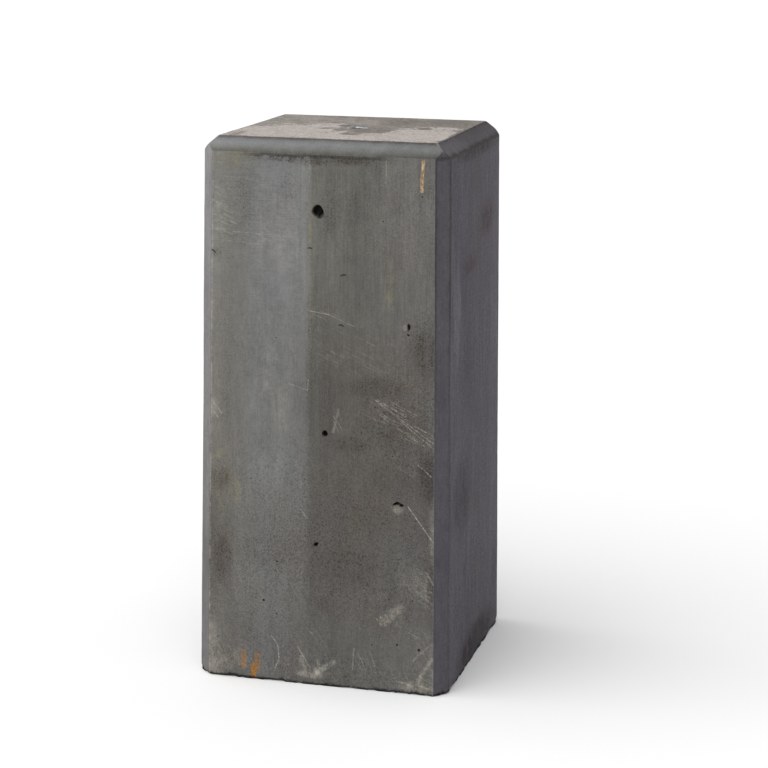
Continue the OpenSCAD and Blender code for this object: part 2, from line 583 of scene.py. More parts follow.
def block_grid(shape):
    """Grid of the block's two lengths, crowded at the edges, the foot, the socket and the holes.

    Each spot is a place, how far the fine lines reach to either side of it, and their gap there.
    """
    side = shape.v_shoulder - shape.v_foot
    top = shape.v_rim - shape.v_top
    s_spots = [(i * shape.quarter, 1.2, 0.6) for i in range(5)]
    s_spots += [(i * shape.quarter + shape.flat_run, 1.2, 0.6) for i in range(4)]
    s_spots += [(shape.flat_run / 2, shape.flat_run / 2, 2.6)]
    v_spots = [
        (shape.v_foot, 2.0, 0.5),
        (shape.v_foot + side / 2, side / 2, 3.2),
        (shape.v_shoulder, 1.2, 0.5),
        (shape.v_top, 1.0, 0.5),
        (shape.v_top + top / 2, top / 2, 3.0),
        (shape.v_rim, 0.5, 0.4),
    ]
    for across, height, half_width, half_height, _, hang in AIR_HOLES:
        flat = shape.foot - shape.lean * height - shape.cut
        fine = 0.36 if half_width > LARGE_HOLE else 0.5
        s_spots.append((shape.flat_run * (0.5 + across / flat / 2), half_width + 0.3, fine))
        reach = half_height + hang / 2 + 0.3
        v_spots.append((shape.v_foot + (height - hang / 2) * side / shape.shoulder, reach, fine))
    s = crowded_lines(shape.round_trip, 4.0, s_spots)[:-1]
    v = crowded_lines(shape.runs[-1], 9.0, v_spots)[1:-1]
    return np.meshgrid(s, v)


def build_block(block, socket):
    """The block's object, with the vector attributes that its finish reads.

    "face" holds 1 on the front, the right and the top. "edge" holds the distance in millimetres to
    the nearest upright edge, at most 30, and 1 on the front and the right bevel of the top. "trim"
    holds 1 on the front left and the front right cut edge, and the shade in the air holes. "soil"
    holds the dark, pale and yellow patches, and "wear" the rubbed, scored and pitted areas.
    """
    shape = BlockShape(block, socket)
    s, v = block_grid(shape)
    along = s % shape.quarter
    turn = s // shape.quarter
    rough = layered_noise(shape.sharp(s, v), 9, 21)
    wear = block.arris_wear / MM * (1 + 0.7 * rough)
    half_cut = shape.cut_run / 2
    near_corner = np.abs((s + half_cut) % shape.quarter - half_cut) < shape.cut_run
    wear = wear + 1.6 * smooth_step(14, 0, np.abs(v - shape.v_foot)) * near_corner
    points = shape.worn(s, v, np.maximum(wear, 0.15))
    points, hollow = block_relief(points, normals_of(points))
    on_flat = along <= shape.flat_run + 1e-6
    on_side = (v >= shape.v_foot) & (v <= shape.v_shoulder)
    on_bevel = (v > shape.v_shoulder) & (v < shape.v_top) & on_flat
    on_cut = (v >= shape.v_foot) & (v <= shape.v_mitre) & ~on_flat
    gap = np.minimum(along, np.abs(along - shape.flat_run))
    gap = np.minimum(gap, shape.quarter - along)
    on_top = (v >= shape.v_top) & (v <= shape.v_rim + 1)
    zones = {
        "face": (on_side & on_flat & (turn == 0), on_side & on_flat & (turn == 1), on_top),
        "edge": (np.minimum(gap, 30), on_bevel & (turn == 0), on_bevel & (turn == 1)),
        "trim": (on_cut & (turn == 3), on_cut & (turn == 0), hollow),
        "soil": patch_fields(shape, PATCHES, ("dark", "pale", "yellow"), s, v, points),
        "wear": patch_fields(shape, WEAR, ("rubbed", "scored", "pitted"), s, v, points),
    }
    zones = {key: np.stack(parts, axis=-1).astype(float) for key, parts in zones.items()}
    piece = ring_mesh("cast_block", points, (0, 0, 0), (0, 0, shape.heights[-1]), zones)
    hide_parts("concrete_block")
    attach(piece, "root")
    return piece


def build_socket(socket):
    """The socket's object: a closed bush with a blind bore and a right-hand thread.

    The outer wall and rim are rings of a stepped profile. In the bore, the radius is the crest's
    plus the thread's depth times a flattened triangle wave of height / pitch - angle / turn.
    """
    outer = socket.diameter / MM / 2
    crest = socket.bore_diameter / MM / 2
    root = socket.thread_diameter / MM / 2
    mouth = socket.mouth_diameter / MM / 2
    length, depth, pitch = socket.length / MM, socket.bore_depth / MM, socket.pitch / MM
    top = SOCKET_HIGH.z / MM
    heel, nose = 0.8, 0.35  # chamfers at the outer wall's foot and at the rim
    speck = 0.02  # radius of the ring round the centre of each end
    cone = crest / math.tan(math.radians(59))  # the tapping drill's point is 118 degrees wide
    shell_radius = [speck, outer - heel, outer, outer, outer - nose, mouth + 0.1, mouth]
    shell_height = [-length, -length, heel - length, -nose, -0.02, 0.0, -0.08]
    bore_height = np.arange(mouth - crest, depth - 0.5, pitch / 10)
    tail_radius = [crest, crest * 0.5, speck]
    tail_height = [-depth, -depth - cone * 0.5, -depth - cone + 0.01]
    angle = np.linspace(0, 2 * np.pi, 96, endpoint=False)
    around = np.ones_like(angle)
    turns = bore_height[:, None] / pitch + angle / (2 * np.pi)
    groove = np.clip(np.abs(turns % 1 - 0.5) * 2.7 - 0.22, 0, 1)
    runout = smooth_step(depth - 0.5, depth - 5, bore_height)[:, None]
    bore_radius = crest + (root - crest) * groove * runout
    countersunk = np.maximum(bore_radius, mouth - (bore_height[:, None] - 0.08))
    radius = np.vstack([np.outer(shell_radius, around), countersunk, np.outer(tail_radius, around)])
    height = top + np.concatenate([shell_height, -bore_height, tail_height])
    points = np.stack(
        [radius * np.cos(angle), radius * np.sin(angle), np.outer(height, around)], axis=-1
    )
    ends = (0, 0, top - length), (0, 0, top - depth - cone)
    piece = ring_mesh("threaded_bush", points, *ends)
    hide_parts("threaded_socket")
    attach(piece, "root")
    return piece


# ---------------------------------------------------------------------------------------------
# Finishes
# ---------------------------------------------------------------------------------------------


class Wire:
    """One socket of a node tree. Python's operators on it add Math nodes to the tree."""

    def __init__(self, finish, socket):
        self.finish = finish
        self.socket = socket

    def math(self, operation, *values):
        return self.finish.node("Math", {"operation": operation}, dict(enumerate(values)))

    def __add__(self, other):
        return self.math("ADD", self, other)

    def __sub__(self, other):
        return self.math("SUBTRACT", self, other)

    def __rsub__(self, other):
        return self.math("SUBTRACT", other, self)

    def __mul__(self, other):
        return self.math("MULTIPLY", self, other)

    def __truediv__(self, other):
        return self.math("DIVIDE", self, other)

    def __abs__(self):
        return self.math("ABSOLUTE", self)

    def __or__(self, other):
        return self.math("MAXIMUM", self, other)

    def __and__(self, other):
        return self.math("MINIMUM", self, other)

    __radd__ = __add__
    __rmul__ = __mul__


class Finish:
    """A material's node tree, and the few kinds of node that the finishes are made of."""

    def __init__(self, name):
        self.material = bpy.data.materials.new(name)
        self.material.use_nodes = True
        self.tree = self.material.node_tree
        self.tree.nodes.clear()

    def node(self, kind, settings=None, inputs=None, output=0):
        """Adds a node of that kind. Settings come first, then each input's value or wire."""
        node = self.tree.nodes.new("ShaderNode" + kind)
        for key, value in (settings or {}).items():
            if key == "stops":
                self.set_stops(node.color_ramp, value)
            else:
                setattr(node, key, value)
        for key, value in (inputs or {}).items():
            if isinstance(value, Wire):
                self.tree.links.new(value.socket, node.inputs[key])
            else:
                node.inputs[key].default_value = value
        return Wire(self, node.outputs[output]) if node.outputs else None

    @staticmethod
    def set_stops(ramp, stops):
        """Gives a colour ramp its stops: (place, colour)."""
        while len(ramp.elements) < len(stops):
            ramp.elements.new(1.0)
        for element, (place, colour) in zip(ramp.elements, stops):
            element.position = place
            element.color = (*colour, 1.0)

    def vector(self, operation, a, b=None, output=0, scale=None):
        """A Vector Math node."""
        inputs = {0: a}
        if b is not None:
            inputs[1] = b
        if scale is not None:
            inputs["Scale"] = scale
        return self.node("VectorMath", {"operation": operation}, inputs, output)

    def object_millimetres(self):
        """The place on the piece, in millimetres."""
        place = self.node("TexCoord", output="Object")
        return self.vector("SCALE", place, scale=1 / MM)

    def split(self, vector):
        """The three numbers of a vector."""
        first = self.node("SeparateXYZ", inputs={0: vector})
        node = first.socket.node
        return tuple(Wire(self, node.outputs[i]) for i in range(3))

    def attribute(self, name):
        """The three numbers of a vector attribute of the mesh."""
        settings = {"attribute_type": "GEOMETRY", "attribute_name": name}
        return self.split(self.node("Attribute", settings, output="Vector"))

    def noise(self, place, size, detail=2.0, stretch=(1, 1, 1), roughness=0.5, output="Fac"):
        """Noise of the given feature size, from about -1 to 1, or from 0 to 1 as a colour. Stretch
        lengthens it along each axis."""
        scaled = self.vector("MULTIPLY", place, tuple(1 / (size * k) for k in stretch))
        inputs = {"Vector": scaled, "Scale": 1.0, "Detail": detail, "Roughness": roughness}
        value = self.node("TexNoise", {"noise_dimensions": "3D"}, inputs, output)
        return value if output == "Color" else value * 4.0 - 2.0

    def fade(self, low, high, value):
        """0 at low, 1 at high, smooth between. Low may be the greater.

        A clamp here, or on a Math node, would be worked out after all other nodes. That keeps too
        many values waiting, and a large shader then runs out of room.
        """
        inputs = {"Value": value, "From Min": low, "From Max": high}
        settings = {"interpolation_type": "SMOOTHSTEP", "clamp": False}
        return self.node("MapRange", settings, inputs)

    def mix(self, share, a, b):
        """Colour b laid over colour a by the share."""
        inputs = {0: share, 6: self.opaque(a), 7: self.opaque(b)}
        return self.node("Mix", {"data_type": "RGBA"}, inputs, output=2)

    @staticmethod
    def opaque(colour):
        """A fixed colour with its alpha of 1, or a wire as it is."""
        return colour if isinstance(colour, Wire) else (*colour, 1.0)

    def ramp(self, place, stops):
        """Colour at a place along a scale, from stops given as (place, colour) in rising order."""
        low, high = stops[0][0], stops[-1][0]
        spread = [((stop - low) / (high - low), colour) for stop, colour in stops]
        return self.node("ValToRGB", {"stops": spread}, {0: (place - low) / (high - low)})

    def stroke(self, place, start, end):
        """Distance in millimetres from the straight line between two points."""
        start, run = Vector(start), Vector(end) - Vector(start)
        away = self.vector("SUBTRACT", place, tuple(start))
        share = self.vector("DOT_PRODUCT", away, tuple(run / run.length_squared), output="Value")
        foot = self.vector("SCALE", tuple(run), scale=(share | 0.0) & 1.0)
        return self.vector("DISTANCE", away, foot, output="Value")

    def close(self, colour, roughness, height, metallic=0.0, gloss=0.5):
        """Ends the tree and returns the material. Height is in millimetres, and gloss is how
        strongly the surface mirrors."""
        bump = self.node("Bump", inputs={"Strength": 1.0, "Distance": MM, "Height": height})
        shader = self.node(
            "BsdfPrincipled",
            inputs={
                "Base Color": colour,
                "Roughness": roughness,
                "Metallic": metallic,
                "Specular IOR Level": gloss,
                "Normal": bump,
            },
        )
        self.node("OutputMaterial", inputs={"Surface": shader})
        return self.material


# Scratches on the front: x and z of both ends, half width, strength.
FRONT_SCRATCHES = [
    (-84, 327, -46, 325, 0.3, 0.3), (-84, 373, -50, 371, 0.3, 0.25),
    (-60, 341, -30, 339, 0.3, 0.25), (-66, 333, -22, 331, 0.3, 0.5), (-81, 352, -66, 346, 0.3, 0.5),
    (-81, 341, -67, 337, 0.3, 0.5), (-10, 279, 6, 277, 0.35, 0.8), (6, 277, 24, 269, 0.3, 0.4),
    (-24, 225, -10, 221, 0.3, 0.7), (-10, 221, -10, 229, 0.3, 0.7), (40, 217, 85, 187, 0.45, 0.6),
    (42, 217, 62, 207, 0.9, 0.4), (56, 205, 84, 184, 0.45, 0.5), (56, 198, 76, 186, 0.8, 0.3),
    (-84, 212, -75, 200, 0.5, 0.8), (-84, 206, -78, 197, 0.5, 0.7), (9, 192, 13, 209, 1.0, 0.35),
    (65, 141, 87, 112, 0.45, 0.9), (80, 92, 85, 84, 0.8, 0.4), (72, 78, 84, 70, 1.2, 0.3),
    (-37, 35, -32, 28, 0.35, 0.9), (-32, 28, -31, 18, 0.35, 0.9), (-31, 18, -35, 8, 0.35, 0.9),
    (-8, 41, -2, 35, 0.4, 0.5), (-17, 28, -7, 13, 0.5, 0.7), (-17, 8, -5, 7, 2.0, 0.5),
    (-5, 7, 10, 19, 2.0, 0.55), (-1, 19, 0, 11, 1.2, 0.4), (-14, 20, -12, 14, 2.6, 0.35),
    (38, 30, 43, 14, 0.5, 0.35), (-84, 366, -72, 362, 0.5, 0.35), (-84, 346, -64, 339, 0.5, 0.5),
    (-80, 335, -66, 331, 0.5, 0.4), (26, 31, 25, 15, 0.5, 0.5), (84, 28, 73, 8, 1.6, 0.55),
    (43, 55, 47, 50, 0.7, 0.5), (46, 57, 49.5, 51, 0.8, 0.5), (49.5, 59, 53, 54, 1.0, 0.5),
    (53, 61.5, 56, 57, 1.2, 0.55), (57, 64, 59, 60.5, 1.3, 0.5), (61, 66, 62, 64, 0.8, 0.4),
    (-84, 356, -70, 351, 0.4, 0.5), (49, 55, 60, 64, 4.0, 0.35), (-84, 338, -72, 334, 1.0, 0.25),
    (-83, 362, -70, 357, 1.0, 0.2), (73, 8, 86, 5, 1.0, 0.4), (58, 9, 70, 7, 1.0, 0.5),
    (70, 26, 84, 40, 0.7, 0.35), (72, 172, 82, 164, 0.35, 0.7), (-9.5, 388, -9.5, 371, 0.5, 0.4),
    (46, 388, 46, 372, 0.4, 0.4), (-15, 133, -10, 126, 0.7, 0.5),
]

# Rust on the front, given like the scratches.
FRONT_RUST = [
    (72.4, 388, 71.8, 376, 1.2, 1.0), (71.8, 376, 71.6, 367, 1.3, 1.0),
    (-58.8, 19.5, -58.4, 9, 2.2, 0.65), (-47.8, 18, -48.4, 9, 2.7, 0.7),
    (-50.8, 10, -51.0, 3, 2.2, 1.5),
]

# Small pores on the front, painted dark as the shade inside them: x, z, radius.
FRONT_PORES = [
    (-43, 61.8, 1.0), (74.6, 34.6, 1.2), (58.2, 36.6, 0.9), (63.4, 265.6, 0.9), (-33, 92, 0.8),
    (39.5, 35, 0.6), (69, 71, 0.6), (-33, 52, 0.6), (44, 345, 0.5), (-34, 258, 0.5), (34, 20, 0.5),
    (-53, 153, 0.5), (-46, 152, 0.4), (-79, 30.5, 0.5), (72, 363.5, 0.6),
]

# Lips on the front where the cast skin arches over a hollow, painted dark as the shade under the
# overhang: x, z, radius, and the bearing in degrees of the arc's middle, counted from the right
# towards the top.
FRONT_LIP_SHADES = [
    (-9, 322, 1.9, 85), (16, 303.6, 2.5, 100), (14, 267.6, 2.3, 80), (-82, 315.5, 3.2, 80),
    (61.6, 271.0, 2.8, -5),
]

# Greys of the front in four rows, from the top down: the heights between which the row takes over
# from the one above, and its stops, each an x and a display colour.
FRONT_TONES = [
    (None, [
        (-90, 130, 128, 124), (-78, 127, 125, 120), (-66, 116, 114, 109), (-54, 118, 118, 116),
        (-40, 121, 121, 121), (-12, 124, 124, 123), (-7, 108, 106, 100), (4, 105, 103, 97),
        (30, 100, 98, 93), (62, 108, 106, 102), (90, 102, 101, 98),
    ]),
    ((330, 200), [
        (-90, 122, 119, 114), (-78, 117, 114, 108), (-62, 110, 108, 104), (-50, 115, 115, 113),
        (-26, 115, 115, 113), (-13, 108, 107, 105), (-7, 92, 90, 85), (4, 90, 87, 83),
        (30, 92, 89, 84), (62, 92, 89, 85), (90, 90, 88, 85),
    ]),
    ((170, 115), [
        (-90, 100, 97, 92), (-78, 100, 97, 92), (-62, 108, 106, 102), (-40, 107, 107, 105),
        (-13, 102, 101, 98), (-7, 88, 85, 82), (26, 90, 87, 83), (60, 93, 91, 88),
        (90, 86, 84, 82),
    ]),
    ((80, 30), [
        (-90, 108, 105, 99), (-66, 100, 98, 94), (-40, 102, 102, 101), (-16, 99, 97, 94),
        (4, 93, 91, 87), (30, 96, 94, 90), (60, 98, 96, 93), (90, 98, 96, 93),
    ]),
]

# Greys of the right face: y and a display colour. Even divided by the right face's light they
# stay darker than the front's, partly its own colour and partly painted shade.
RIGHT_TONES = [
    (-90, 80, 76, 83), (-80, 87, 83, 91), (-55, 86, 82, 90), (-25, 82, 78, 85), (5, 84, 80, 86),
    (35, 86, 82, 89), (65, 91, 87, 94), (90, 95, 91, 98),
]

# Greys of the top's front and right bevels and of the front left cut edge: z and a display colour.
# On the bevels they rise to a painted highlight across the middle and fall towards both edges.
FRONT_BEVEL_TONES = [
    (389.5, 86, 84, 78), (391.5, 106, 105, 100), (393.5, 121, 121, 119), (396, 130, 131, 132),
    (398, 122, 122, 122), (399.2, 98, 95, 94), (400, 86, 80, 78),
]
# The right bevel's greys are used without dividing out its light, so they also hold painted shade.
RIGHT_BEVEL_TONES = [
    (389.3, 54, 50, 53), (390.6, 80, 76, 79), (393, 93, 89, 93), (397, 90, 86, 90),
    (399, 84, 80, 84), (399.9, 58, 54, 57),
]
LEFT_CUT_TONES = [
    (20, 116, 114, 112), (90, 110, 108, 106), (190, 131, 129, 127), (300, 130, 128, 130),
    (388, 144, 142, 142),
]


def concrete_wires(f):
    """What the concrete's finish is mixed from: the place on the block in millimetres, the mesh's
    attributes, and noises named for what they look like."""
    w = SimpleNamespace()
    w.place = place = f.object_millimetres()
    w.x, w.y, w.z = f.split(place)
    w.front, w.right, w.top = f.attribute("face")
    w.gap, w.front_bevel, w.right_bevel = f.attribute("edge")
    w.left_cut, w.right_cut, w.hollow = f.attribute("trim")
    w.dark, w.pale, w.yellow = f.attribute("soil")
    w.rubbed, w.scored, w.pitted = f.attribute("wear")
    w.side = 1.0 - w.top

    w.grain = f.noise(place, 1.1, roughness=0.7)
    w.grit = f.noise(place, 1.15, roughness=0.7)
    w.speckle = f.noise(place, 2.6, detail=3, roughness=0.7)
    w.mottle = f.noise(place, 9, detail=4, roughness=0.62)
    w.cloud = f.noise(place, 42, detail=4, roughness=0.6)
    w.streaks = f.noise(place, 1.5, stretch=(1, 1, 30))
    w.strokes = f.noise(place, 0.9, stretch=(1, 1, 9), roughness=0.6)
    w.level = f.noise(place, 0.9, stretch=(20, 20, 1), roughness=0.6)
    w.smears = f.noise(place, 8, detail=3, stretch=(1, 1, 6), roughness=0.6)

    # The place on the front's plane, shaken a little so that drawn marks aren't ruler straight.
    shake = f.vector("SUBTRACT", f.noise(place, 7, output="Color"), (0.5, 0.5, 0.5))
    shaken = f.vector("ADD", place, f.vector("SCALE", shake, scale=1.6))
    w.flat = f.vector("MULTIPLY", shaken, (1, 0, 1))
    return w


def clean_colour(f, w, plain, bloom):
    """Colour of the concrete before stains and marks.

    The plain grey is for faces that nothing else is said about. The front blends its four rows, the
    right runs along its one row, and bevels and cut edges run up theirs. The right face's row is
    partly painted shade, the right bevel and the front right cut edge hold painted shade in their
    greys, and the bevels' rows rise to a painted highlight across their middle. The top is a thin
    grey skin on which the pale patches are lime bloom.
    """

    def row(along, stops, light):
        return f.ramp(along, [(place, tone(*shade, light)) for place, *shade in stops])

    colour = f.mix(
        f.fade(-0.8, 0.8, w.cloud + w.smears * 0.4),
        tuple(c * 0.78 for c in plain),
        tuple(c * 1.10 for c in plain),
    )
    across = w.x + w.mottle * 1.2 + w.smears * 1.6
    front = None
    for takes_over, stops in FRONT_TONES:
        band = row(across, stops, FRONT_LIGHT)
        front = f.mix(f.fade(*takes_over, w.z), front, band) if takes_over else band
    colour = f.mix(w.front, colour, front)
    # The right face's row is partly its own colour and partly painted shade.
    colour = f.mix(w.right, colour, row(w.y + w.smears * 5.0, RIGHT_TONES, RIGHT_LIGHT))

    top = f.mix(
        f.fade(-0.8, 0.8, w.cloud * 0.7 + w.mottle * 0.7 - w.x * 0.009),
        tone(134, 127, 121, TOP_LIGHT),
        tone(154, 147, 141, TOP_LIGHT),
    )
    cover = w.pale - w.dark * 1.2 + w.mottle * 0.38 + w.speckle * 0.4 + w.grit * 0.12
    top = f.mix(f.fade(0.3, 0.5, cover) * w.top, top, bloom)
    colour = f.mix(w.top, colour, top)

    up = w.z + w.mottle * 0.7
    # The bevels' rows carry a painted highlight across their middle, and the right bevel's also
    # painted shade.
    colour = f.mix(w.front_bevel, colour, row(up, FRONT_BEVEL_TONES, FRONT_BEVEL_LIGHT))
    colour = f.mix(w.right_bevel, colour, row(up, RIGHT_BEVEL_TONES, 1.0))
    colour = f.mix(w.left_cut, colour, row(w.z + w.smears * 20, LEFT_CUT_TONES, LEFT_LIGHT))
    # The front right cut edge keeps a dark grey whose light isn't divided out: its own colour with
    # painted shade.
    return f.mix(w.right_cut, colour, tone(77, 74, 80))


def stained(f, w, colour):
    """The colour with its yellow, pale and dark patches, whose edges the mottling frays."""
    ragged = w.mottle * 0.55 + w.speckle * 0.3 + w.grit * 0.25
    frayed = 1.0 + ragged * 1.2 + w.smears * 0.6
    yellow = w.yellow * frayed
    # The right face's copy of the yellow tint is darker than the front's even with its light divided
    # out: partly painted shade.
    for start, where, tint in (
        (0.02, w.side * (1.0 - w.right) * 0.8, tone(130, 124, 98, FRONT_LIGHT)),
        (0.02, w.right, tone(74, 62, 66, RIGHT_LIGHT)),
        (0.1, w.top, tone(178, 140, 104, TOP_LIGHT)),
    ):
        colour = f.mix(f.fade(start, 0.8, yellow) * where, colour, tint)
    # The pale tint's right-face copy is darker, partly as painted shade.
    tint = f.mix(w.right, tone(143, 139, 130, FRONT_LIGHT), tone(98, 95, 100, RIGHT_LIGHT))
    colour = f.mix(f.fade(0.02, 0.9, w.pale * frayed) * w.side, colour, tint)
    share = f.fade(0.02, 1.0, w.dark * frayed) * (0.9 - w.top * 0.45)
    return f.mix(share, colour, f.vector("MULTIPLY", colour, (0.54, 0.50, 0.48)))


def scores(f, w, lean):
    """Fine parallel lines that fall to the right by the given angle in degrees."""
    run, fall = math.cos(math.radians(lean)), math.sin(math.radians(lean))
    along = w.x * run - w.z * fall
    over = w.x * fall + w.z * run
    turned = f.node("CombineXYZ", inputs={0: along * 0.06, 1: over * 1.1, 2: w.y * 0.06})
    return f.fade(0.1, 0.9, f.noise(turned, 1.0))


def marks(f, w, rows, outer, inner, fray=None):
    """The strongest of some straight marks on the front at each place.

    A mark is full within inner times its half width and gone past outer times. Fray, if there is
    any, is added to the distance from it.
    """

    def mark(x1, z1, x2, z2, half_width, strength):
        far = f.stroke(w.flat, (x1, 0, z1), (x2, 0, z2))
        if fray is not None:
            far = far + fray
        return f.fade(half_width * outer, half_width * inner, far) * strength

    return reduce(or_, (mark(*row) for row in rows)) * w.front


def scratched(f, w, colour, rust):
    """The colour with rubbed scores, single scratches and rust, all of which skip over the grain."""
    skip = f.fade(-0.6, 0.5, w.speckle + w.grain * 0.6)
    chalk = (w.rubbed * scores(f, w, 24)) | (w.scored * scores(f, w, 62))
    chalk = chalk * 0.75 | marks(f, w, FRONT_SCRATCHES, 1.4, 0.3)
    chalk = chalk * (0.4 + skip * 0.6)
    # The chalk's right-face copy is darker, partly as painted shade.
    tint = f.mix(w.right, tone(172, 168, 156, FRONT_LIGHT), tone(128, 125, 128, RIGHT_LIGHT))
    colour = f.mix(chalk * 0.8, colour, tint)

    cover = marks(f, w, FRONT_RUST, 1.2, 0.7, fray=w.speckle * 0.4)
    cover = (cover * (0.62 + skip * 0.2 + w.mottle * 0.2)) & 1.0
    flake = f.mix(f.fade(-0.2, 0.6, w.speckle), (0.30, 0.19, 0.10), (0.50, 0.40, 0.26))
    return f.mix(cover, colour, f.mix(f.fade(340, 360, w.z), rust, flake))


def edged(f, w, colour):
    """The colour with rubbed arrises: pale along the front's edges, dark along the right's, and a
    dark line under the bevels."""
    worn = f.fade(1.2, 0.2, w.gap) * f.fade(-0.4, 0.5, w.mottle + w.speckle * 0.6)
    worn = worn * (0.35 + f.fade(60, -60, w.x + w.mottle * 40) * 0.65)
    colour = f.mix(worn * w.front * 0.55, colour, tone(160, 156, 147, FRONT_LIGHT))
    shaded = w.right | w.right_cut | w.right_bevel
    seam = f.fade(1.9, 0.3, w.gap + w.mottle * 0.8) * shaded
    seam = seam * (0.22 + f.fade(140, 330, w.z) * 0.62 + w.mottle * 0.3)
    seam = seam | f.fade(1.2, 0.2, w.gap) * w.left_cut * 0.6
    line = f.fade(2.0, 0.6, abs(w.z - 388.6 + w.mottle * 1.2))
    line = line * f.fade(62, 40, abs(w.x + 4)) * w.front
    line = line | f.fade(1.9, 0.6, abs(w.z - 389.8 + w.mottle * 0.8)) * shaded
    return f.mix(seam | line * 0.75, colour, tone(54, 52, 48))


def openings(f, w):
    """Fine pits, scattered pin holes, and the painted shade that blackens all the openings, each from
    0 up.
    """
    clumps = w.pitted * (w.mottle * 0.5 + 0.7)
    pits = f.fade(0.0, 0.9, w.grit + w.speckle * 0.3)
    pits = pits * (0.06 + (clumps | w.dark * 1.3) * 0.50)
    cells = {"Vector": f.vector("SCALE", w.place, scale=1 / 5.2), "Scale": 1.0}
    pin = f.node("TexVoronoi", {"voronoi_dimensions": "3D"}, cells, "Distance")
    pins = f.fade(0.11, 0.05, pin) * f.fade(0.2, 0.9, w.pitted + w.mottle * 0.4) * w.side

    def pore(x, z, radius):
        return f.vector("DISTANCE", w.flat, (x, 0, z), output="Value") / radius

    def lip_shade(x, z, radius, bearing):
        bearing = math.radians(bearing)
        away = f.vector("SUBTRACT", w.flat, (x, 0, z))
        far = f.vector("LENGTH", away, output="Value")
        outward = (math.cos(bearing), 0, math.sin(bearing))
        share = f.vector("DOT_PRODUCT", away, outward, output="Value") / radius
        return f.fade(0.75, 0.25, abs(far - radius)) * f.fade(0.4, 0.9, share)

    nearest = reduce(and_, (pore(*row) for row in FRONT_PORES))
    lip_shades = reduce(or_, (lip_shade(*row) for row in FRONT_LIP_SHADES))
    # Pores and the arcs over hollows are painted dark, as the shade in them.
    drawn = f.fade(1.2, 0.7, nearest) * 0.9 | lip_shades * 0.85
    # Pin holes and air holes add their painted shade too.
    return pits, pins, pins * 0.7 | drawn * w.front | w.hollow * 0.95


def brightness(f, w, pits):
    """How grain, brush strokes, smears and pits lighten or darken the colour, as a share about 1. The
    pits' darkening is painted shade.

    The front's left has level strokes high up and its right upright streaks. The front bevel pales
    to the left, and the right bevel darkens towards the back.
    """
    streaked = f.fade(-30, 0, w.x + w.mottle * 6) * f.fade(150, 230, w.z) * w.front * 0.07
    streaked = streaked + w.right * 0.07 + 0.04
    levelled = f.fade(0, -30, w.x + w.mottle * 9) * f.fade(260, 330, w.z) * w.front
    gritty = 0.15 + (w.pitted | w.dark) * 0.24 + w.right * 0.22 + w.top * 0.24
    gritty = gritty - w.front_bevel * 0.07
    value = 1.0 + (w.grain + w.speckle * 0.7) * gritty
    value = value + w.mottle * (0.10 - w.front_bevel * 0.05)
    value = value + w.smears * (0.11 + w.right * 0.04)
    value = value + w.strokes * (1.0 - levelled + w.right * 0.6) * 0.10
    value = value + w.level * levelled * 0.12 + w.streaks * streaked + w.cloud * 0.05
    # Pits darken the sides as painted shade inside them.
    value = value - pits * w.side * 1.5 + w.pitted * 0.07
    value = value - w.front_bevel * (w.x * 0.0018)
    return value - w.right_bevel * ((w.y + 70) & 80.0) * 0.0028


def concrete_finish(block):
    """Cast concrete: mottled grey with stains, streaks, pores, rubbed edges, lime bloom and marks,
    with painted shade in its openings, along its foot and on its right side, and a painted highlight
    on its bevels.
    """
    f = Finish("cast_concrete")
    w = concrete_wires(f)
    colour = clean_colour(f, w, tuple(block.grey), tuple(block.bloom))
    colour = stained(f, w, colour)
    colour = scratched(f, w, colour, tuple(block.rust))
    colour = edged(f, w, colour)
    pits, pins, opening_shade = openings(f, w)

    warm = w.pitted * f.fade(-0.3, 0.7, w.mottle * 0.5 - w.cloud) * 0.8
    colour = f.mix(warm, colour, f.vector("MULTIPLY", colour, (1.05, 0.98, 0.95)))
    # Painted shade along the foot, where the block meets the floor.
    foot_shade = f.fade(3.2, 1.2, w.z + w.mottle * 1.2 + w.speckle * 0.9)
    foot_shade = foot_shade * f.fade(88, 92, abs(w.x) | abs(w.y))
    value = brightness(f, w, pits) * (1.0 - opening_shade) * (1.0 - foot_shade * 0.88)
    colour = f.vector("SCALE", colour, scale=value | 0.03)

    height = w.grain * 0.03 + w.speckle * 0.03 + w.mottle * 0.05 - pits * 0.10 - pins * 0.3
    return f.close(colour, 0.8 + w.mottle * 0.05, height, gloss=0.2)


def zinc_finish(socket):
    """Zinc plating: bluish metal with faint blotches, with painted shade that darkens the bore but
    leaves its left and right sides bright, and a grey band across the middle of the rim.
    """
    f = Finish("zinc_plating")
    place = f.object_millimetres()
    x, _, z = f.split(place)
    blotch = f.noise(place, 3, detail=3)
    grain = f.noise(place, 0.6)
    zinc = tuple(socket.zinc)
    colour = f.mix(f.fade(-0.8, 0.8, blotch), zinc, tuple(c * 0.6 for c in zinc))
    # Painted shade: a dark bluish colour in the bore, leaving its left and right sides bright.
    inside = f.fade(399.8, 399.0, z) * f.fade(6.3, 4.9, abs(x + 0.4))
    colour = f.mix(inside, colour, (0.035, 0.06, 0.085))
    # Greys the middle of the rim, leaving its left and right sides bright.
    rim_grey = f.fade(399.5, 399.8, z) * f.fade(5.5, 3.0, abs(x))
    colour = f.mix(rim_grey * 0.8, colour, (0.16, 0.15, 0.14))
    return f.close(colour, 0.32 + blotch * 0.08, grain * 0.01, metallic=1.0)


def floor_finish(studio):
    """Plain pale floor."""
    f = Finish("studio_floor")
    return f.close(f.opaque(tuple(studio.floor)), 0.9, 0.0)


# ---------------------------------------------------------------------------------------------
# Studio
# ---------------------------------------------------------------------------------------------


FLOOR_HALF = 300.0  # metres, so that the floor's edge lies on the horizon
KEY_TOWARDS = (-0.45, -0.55, 0.70)  # from the block to the key light: front left and high up
KEY_SPREAD = math.radians(100)


